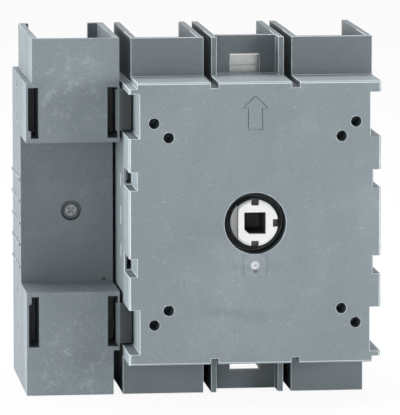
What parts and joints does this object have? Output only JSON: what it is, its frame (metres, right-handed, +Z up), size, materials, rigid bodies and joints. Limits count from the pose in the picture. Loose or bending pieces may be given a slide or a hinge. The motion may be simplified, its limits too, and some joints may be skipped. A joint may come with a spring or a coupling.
{
  "type": "rotary switch disconnector",
  "caption": "Panel-mounted rotary load break switch: moulded block with a square shaft socket, screw clamp terminals above and below, and an add-on pole hooked on its left side.",
  "frame": {"origin": "shaft axis in the plane of the front face, which is also the centre of the front screw patterns", "axes": "-Y out of the front face along the shaft, +X right and +Z up as seen from the front"},
  "size_m": [0.0973, 0.067, 0.1],
  "materials": {
    "housing_grey": "moulded satin",
    "inner_dark": "moulded matte",
    "coupler_white": "smooth",
    "copper": "silver plated",
    "steel": "zinc plated"
  },
  "bodies": {
    "housing": {"front_housing": "housing_grey", "rear_housing": "housing_grey", "contact_cover": "inner_dark", "snap_spring": "steel", "bearing_pin": "steel", "housing_screws": "steel", "fourth_pole_front_housing": "housing_grey", "fourth_pole_rear_housing": "housing_grey", "fourth_pole_screw": "steel", "upper_coupling_clip": "housing_grey", "lower_coupling_clip": "housing_grey", "upper_fixed_contact_1": "copper", "lower_fixed_contact_1": "copper", "upper_fixed_contact_2": "copper", "lower_fixed_contact_2": "copper", "upper_fixed_contact_3": "copper", "lower_fixed_contact_3": "copper", "upper_fixed_contact_4": "copper", "lower_fixed_contact_4": "copper"},
    "drive": {"shaft_coupler": "coupler_white", "drive_gear": "inner_dark"},
    "rotor": {"rotor_gear": "inner_dark", "rotor_shaft": "steel", "coupling_shaft": "steel", "rotor_pole_1": "inner_dark", "rotor_pole_2": "inner_dark", "rotor_pole_3": "inner_dark", "rotor_pole_4": "inner_dark", "moving_contact_1": "copper", "moving_contact_2": "copper", "moving_contact_3": "copper", "moving_contact_4": "copper"},
    "upper_screw_1": {"upper_clamp_screw_1": "steel"},
    "upper_clamp_1": {"upper_clamp_1": "steel"},
    "upper_screw_2": {"upper_clamp_screw_2": "steel"},
    "upper_clamp_2": {"upper_clamp_2": "steel"},
    "upper_screw_3": {"upper_clamp_screw_3": "steel"},
    "upper_clamp_3": {"upper_clamp_3": "steel"},
    "upper_screw_4": {"upper_clamp_screw_4": "steel"},
    "upper_clamp_4": {"upper_clamp_4": "steel"},
    "lower_screw_1": {"lower_clamp_screw_1": "steel"},
    "lower_clamp_1": {"lower_clamp_1": "steel"},
    "lower_screw_2": {"lower_clamp_screw_2": "steel"},
    "lower_clamp_2": {"lower_clamp_2": "steel"},
    "lower_screw_3": {"lower_clamp_screw_3": "steel"},
    "lower_clamp_3": {"lower_clamp_3": "steel"},
    "lower_screw_4": {"lower_clamp_screw_4": "steel"},
    "lower_clamp_4": {"lower_clamp_4": "steel"}
  },
  "joints": [
    {"name": "shaft_turn", "type": "hinge", "parent": "housing", "child": "drive", "pos_m": [0, 0, 0], "axis": [0, 1, 0], "range_deg": [0, 90], "deforming": ["snap_spring"]},
    {"name": "rotor_turn", "type": "hinge", "parent": "housing", "child": "rotor", "pos_m": [0, 0.053, 0], "axis": [1, 0, 0], "range_deg": [0, 90]},
    {"name": "upper_clamp_1_slide", "type": "slide", "parent": "housing", "child": "upper_clamp_1", "axis": [0, 1, 0], "range_m": [0, 0.0075]},
    {"name": "upper_screw_1_turn", "type": "hinge", "parent": "housing", "child": "upper_screw_1", "pos_m": [-0.0225, 0, 0.0379], "axis": [0, -1, 0], "range_deg": [0, 2160.1]},
    {"name": "upper_clamp_2_slide", "type": "slide", "parent": "housing", "child": "upper_clamp_2", "axis": [0, 1, 0], "range_m": [0, 0.0075]},
    {"name": "upper_screw_2_turn", "type": "hinge", "parent": "housing", "child": "upper_screw_2", "pos_m": [0, 0, 0.0379], "axis": [0, -1, 0], "range_deg": [0, 2160.1]},
    {"name": "upper_clamp_3_slide", "type": "slide", "parent": "housing", "child": "upper_clamp_3", "axis": [0, 1, 0], "range_m": [0, 0.0075]},
    {"name": "upper_screw_3_turn", "type": "hinge", "parent": "housing", "child": "upper_screw_3", "pos_m": [0.0225, 0, 0.0379], "axis": [0, -1, 0], "range_deg": [0, 2160.1]},
    {"name": "upper_clamp_4_slide", "type": "slide", "parent": "housing", "child": "upper_clamp_4", "axis": [0, 1, 0], "range_m": [0, 0.0075]},
    {"name": "upper_screw_4_turn", "type": "hinge", "parent": "housing", "child": "upper_screw_4", "pos_m": [-0.04888, 0, 0.0379], "axis": [0, -1, 0], "range_deg": [0, 2160.1]},
    {"name": "lower_clamp_1_slide", "type": "slide", "parent": "housing", "child": "lower_clamp_1", "axis": [0, 1, 0], "range_m": [0, 0.0075]},
    {"name": "lower_screw_1_turn", "type": "hinge", "parent": "housing", "child": "lower_screw_1", "pos_m": [-0.0225, 0, -0.0379], "axis": [0, -1, 0], "range_deg": [0, 2160.1]},
    {"name": "lower_clamp_2_slide", "type": "slide", "parent": "housing", "child": "lower_clamp_2", "axis": [0, 1, 0], "range_m": [0, 0.0075]},
    {"name": "lower_screw_2_turn", "type": "hinge", "parent": "housing", "child": "lower_screw_2", "pos_m": [0, 0, -0.0379], "axis": [0, -1, 0], "range_deg": [0, 2160.1]},
    {"name": "lower_clamp_3_slide", "type": "slide", "parent": "housing", "child": "lower_clamp_3", "axis": [0, 1, 0], "range_m": [0, 0.0075]},
    {"name": "lower_screw_3_turn", "type": "hinge", "parent": "housing", "child": "lower_screw_3", "pos_m": [0.0225, 0, -0.0379], "axis": [0, -1, 0], "range_deg": [0, 2160.1]},
    {"name": "lower_clamp_4_slide", "type": "slide", "parent": "housing", "child": "lower_clamp_4", "axis": [0, 1, 0], "range_m": [0, 0.0075]},
    {"name": "lower_screw_4_turn", "type": "hinge", "parent": "housing", "child": "lower_screw_4", "pos_m": [-0.04888, 0, -0.0379], "axis": [0, -1, 0], "range_deg": [0, 2160.1]}
  ],
  "couplings": [
    {"joint": "rotor_turn", "follows": "shaft_turn", "ratio": 1},
    {"joint": "upper_screw_1_turn", "follows": "upper_clamp_1_slide", "rad_per_m": 5026.5},
    {"joint": "upper_screw_2_turn", "follows": "upper_clamp_2_slide", "rad_per_m": 5026.5},
    {"joint": "upper_screw_3_turn", "follows": "upper_clamp_3_slide", "rad_per_m": 5026.5},
    {"joint": "upper_screw_4_turn", "follows": "upper_clamp_4_slide", "rad_per_m": 5026.5},
    {"joint": "lower_screw_1_turn", "follows": "lower_clamp_1_slide", "rad_per_m": 5026.5},
    {"joint": "lower_screw_2_turn", "follows": "lower_clamp_2_slide", "rad_per_m": 5026.5},
    {"joint": "lower_screw_3_turn", "follows": "lower_clamp_3_slide", "rad_per_m": 5026.5},
    {"joint": "lower_screw_4_turn", "follows": "lower_clamp_4_slide", "rad_per_m": 5026.5}
  ]
}
